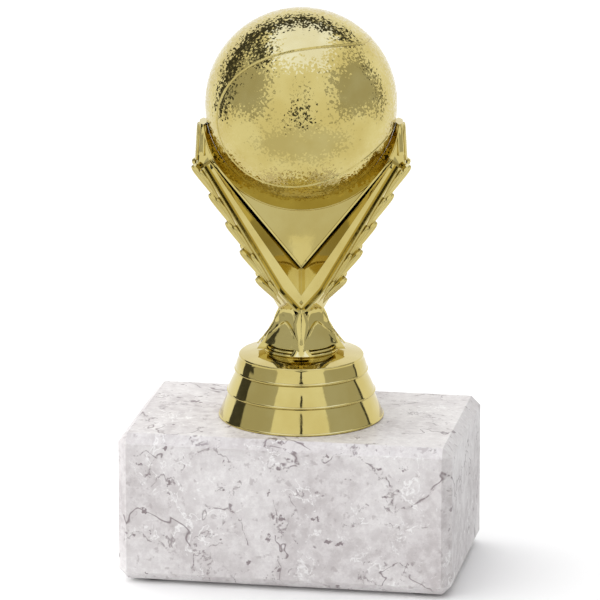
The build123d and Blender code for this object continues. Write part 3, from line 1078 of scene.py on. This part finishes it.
def add_floor():
    """Plain white floor, kept out of the gold's reflections, which come from the studio."""
    mesh = bpy.data.meshes.new("floor")
    corners = ((-1, -1), (1, -1), (1, 1), (-1, 1))
    mesh.from_pydata([(x * FLOOR_HALF, y * FLOOR_HALF, 0) for x, y in corners], [], [range(4)])
    material, nodes, shader, where = new_material("floor_paper")
    tone = nodes.noise(where, 8.0)
    shader.inputs["Roughness"].default_value = 0.9
    white = nodes.mix_colour(tone, (0.93, 0.93, 0.93, 1), (0.95, 0.95, 0.95, 1))
    connect(nodes, shader, Base_Color=white)
    mesh.materials.append(material)
    floor = bpy.data.objects.new("floor", mesh)
    floor.visible_glossy = False
    bpy.context.scene.collection.objects.link(floor)


# ---------------------------------------------------------------- studio


# The studio is a pattern of light on the sky, seen from the trophy: bearings are degrees from
# the camera's side towards the right. Panels stand round it: (from bearing, to bearing, from
# elevation, to elevation, brightness).
PANELS = [
    (-102, -45, -6, 41, 0.54),
    (42, 108, -6, 44, 0.54),
    (-122, -102, -12, 30, 0.07),
    (108, 113, -12, 40, 0.07),
    (-122, -68, 42, 60, 0.07),
]
PANEL_BLUR = 1.2
# The box overhead and the table in front are level: (side, from right, to right, from
# forwards, to forwards, brightness), as shares of their height above or below the trophy.
LEVELS = [
    (1, -0.47, 0.55, -0.60, 0.59, 1.32),
    (-1, -1.6, 1.6, 0.55, 3.5, 0.78),
    (-1, -0.13, 0.13, 2.56, 3.5, 1.0),
]
# The dark gap behind the overhead box follows a great circle, and is broken on the right.
GAP_START_BEARING = -100.0
GAP_PEAK = (170.0, 50.0)
GAP_HALF_WIDTH = 11.5
GAP_BREAK = (60, 128)
GAP_BRIGHTNESS = 0.06
# The camera's stand is a dark strip in front that widens downwards from this elevation.
STAND_WAIST = 12.0
STAND_SPREAD = 0.5
STAND_EDGE = (2.4, 1.0)
STAND_REACH = (-11, 36)
STAND_BRIGHTNESS = 0.06
BACK_GLOW = 0.05
# Soft light on matt surfaces: an even part, then how it grows forwards, right and upwards.
SOFT_LIGHT = (0.60, -0.27, -0.93, 1.0)
COOL_BOX = (0.95, 1.05, 1.75, 1.0)
WHITE = (1, 1, 1, 1)


def direction_to(bearing, elevation):
    """Unit vector (right, forwards, up) of a bearing and an elevation in degrees."""
    b = math.radians(bearing)
    e = math.radians(elevation)
    return Vector((math.cos(e) * math.sin(b), math.cos(e) * math.cos(b), math.sin(e)))


def window(nodes, value, low, high, soft):
    """1 where the value is between low and high, fading to 0 over the soft edges."""
    above = nodes.remap(value, low - soft, low + soft)
    below = nodes.remap(value, high + soft, high - soft)
    return nodes.math("MULTIPLY", above, below)


def product(nodes, *factors):
    """All the factors multiplied together."""
    result = factors[0]
    for factor in factors[1:]:
        result = nodes.math("MULTIPLY", result, factor)
    return result


def weighted_sum(nodes, constant, *terms):
    """The constant plus each term's value times its weight."""
    result = constant
    for value, weight in terms:
        result = nodes.math("ADD", result, nodes.math("MULTIPLY", value, weight))
    return result


def laid_over(nodes, under, mask, brightness):
    """The light under, replaced by a brightness where the mask is 1."""
    inputs = {0: mask, 2: under, 3: brightness}
    return nodes.add("ShaderNodeMix", data_type="FLOAT", inputs=inputs)


def sky_directions(nodes):
    """The way each ray of the sky points: right, forwards (towards the camera) and up."""
    turned = nodes.add(
        "ShaderNodeVectorRotate",
        rotation_type="Z_AXIS",
        inputs={
            "Vector": nodes.add("ShaderNodeTexCoord", output="Generated"),
            "Angle": -math.radians(CAMERA_AZIMUTH),
        },
    )
    split = nodes.tree.nodes.new("ShaderNodeSeparateXYZ")
    nodes.tree.links.new(turned, split.inputs[0])
    right, backwards, up = split.outputs
    return right, nodes.math("MULTIPLY", backwards, -1.0), up


def with_panels(nodes, light, bearing, elevation):
    """Grey and black panels round the trophy."""
    for from_bearing, to_bearing, low, high, brightness in PANELS:
        across = window(nodes, bearing, from_bearing, to_bearing, PANEL_BLUR)
        upwards = window(nodes, elevation, low, high, PANEL_BLUR)
        light = laid_over(nodes, light, product(nodes, across, upwards), brightness)
    return light


def with_gap(nodes, light, directions, bearing):
    """The dark gap between the overhead box and the wall behind it."""
    right, forwards, up = directions
    axis = direction_to(GAP_START_BEARING, 0).cross(direction_to(*GAP_PEAK)).normalized()
    off_circle = weighted_sum(nodes, 0.0, (right, axis.x), (forwards, axis.y), (up, axis.z))
    width = math.sin(math.radians(GAP_HALF_WIDTH))
    mask = product(
        nodes,
        window(nodes, off_circle, -width, width, 0.02),
        nodes.remap(forwards, 0.0, -0.06),
        nodes.remap(up, 0.05, 0.15),
        nodes.math("SUBTRACT", 1.0, window(nodes, bearing, *GAP_BREAK, 4)),
    )
    return laid_over(nodes, light, mask, GAP_BRIGHTNESS)


def with_levels(nodes, light, directions):
    """The box overhead and the table; gives the light and the mask of the box."""
    right, forwards, up = directions
    height = nodes.math("ADD", nodes.math("ABSOLUTE", up), 0.0001)
    across = nodes.math("DIVIDE", right, height)
    along = nodes.math("DIVIDE", forwards, height)
    masks = []
    for side, from_right, to_right, near, far, brightness in LEVELS:
        mask = product(
            nodes,
            window(nodes, across, from_right, to_right, 0.015),
            window(nodes, along, near, far, 0.03),
            nodes.remap(up, 0.0, 0.02 * side),
        )
        light = laid_over(nodes, light, mask, brightness)
        masks.append(mask)
    return light, masks[0]


def with_stand(nodes, light, bearing, elevation):
    """The camera's dark stand in front."""
    below_waist = nodes.math("MAXIMUM", nodes.math("SUBTRACT", STAND_WAIST, elevation), 0.0)
    spread = nodes.math("MULTIPLY", below_waist, STAND_SPREAD)
    off_stand = nodes.math("SUBTRACT", nodes.math("ABSOLUTE", bearing), spread)
    inside = nodes.remap(off_stand, *STAND_EDGE)
    mask = product(nodes, inside, window(nodes, elevation, *STAND_REACH, 0.8))
    return laid_over(nodes, light, mask, STAND_BRIGHTNESS)


def soft_light(nodes, directions):
    """Smooth light from the upper left for matt surfaces."""
    right, forwards, up = directions
    even, by_forwards, by_right, by_up = SOFT_LIGHT
    terms = (forwards, by_forwards), (right, by_right), (up, by_up)
    return nodes.math("MAXIMUM", weighted_sum(nodes, even, *terms), 0.0)


def add_studio():
    """Mirrors see the studio's pattern, matt surfaces a soft light, and the camera plain white."""
    world = bpy.data.worlds.new("studio")
    bpy.context.scene.world = world
    world.use_nodes = True
    nodes = Nodes(world.node_tree)
    directions = sky_directions(nodes)
    right, forwards, up = directions
    degrees = math.degrees(1)
    bearing = nodes.math("MULTIPLY", nodes.math("ARCTAN2", right, forwards), degrees)
    elevation = nodes.math("MULTIPLY", nodes.math("ARCSINE", up), degrees)
    light = nodes.remap(forwards, 0.2, -0.6, 1.0, 1.0 + BACK_GLOW)
    light = with_panels(nodes, light, bearing, elevation)
    light = with_gap(nodes, light, directions, bearing)
    light, box = with_levels(nodes, light, directions)
    light = with_stand(nodes, light, bearing, elevation)
    ray = nodes.tree.nodes.new("ShaderNodeLightPath").outputs
    inputs = {0: ray["Is Glossy Ray"], 2: soft_light(nodes, directions), 3: light}
    light = nodes.add("ShaderNodeMix", data_type="FLOAT", inputs=inputs)
    light = laid_over(nodes, light, ray["Is Camera Ray"], 1.0)
    tint = nodes.mix_colour(product(nodes, box, ray["Is Glossy Ray"]), WHITE, COOL_BOX)
    background = nodes.tree.nodes["Background"]
    nodes.tree.links.new(tint, background.inputs["Color"])
    nodes.tree.links.new(light, background.inputs["Strength"])


# ---------------------------------------------------------------- the trophy


def dress_cad_nodes():
    """Finishes for the nodes whose CAD shape is shown as it is."""
    finishes = {"marble_base": white_marble(), "threaded_insert": turned_brass()}
    steel = zinc_steel()
    felt = black_felt()
    for node in ("flat_washer", "hex_nut", "threaded_stud"):
        finishes[node] = steel
    for node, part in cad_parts.items():
        if node.startswith("felt_pad"):
            finishes[node] = felt
        if node in finishes:
            part.data.materials.clear()
            part.data.materials.append(finishes[node])


def main():
    dress_cad_nodes()
    gold = polished_gold()
    grained = felted_gold()
    foot_piece(gold)
    stem_piece(gold)
    cradle_half("cradle_front_gold", "cradle_front", True, gold)
    cradle_half("cradle_rear_gold", "cradle_rear", False, gold)
    ball_half("ball_front_gold", "ball_front_shell", True, grained)
    ball_half("ball_rear_gold", "ball_rear_shell", False, grained)
    add_floor()
    add_studio()
    add_camera()
    bpy.context.scene.view_settings.view_transform = "Standard"


main()
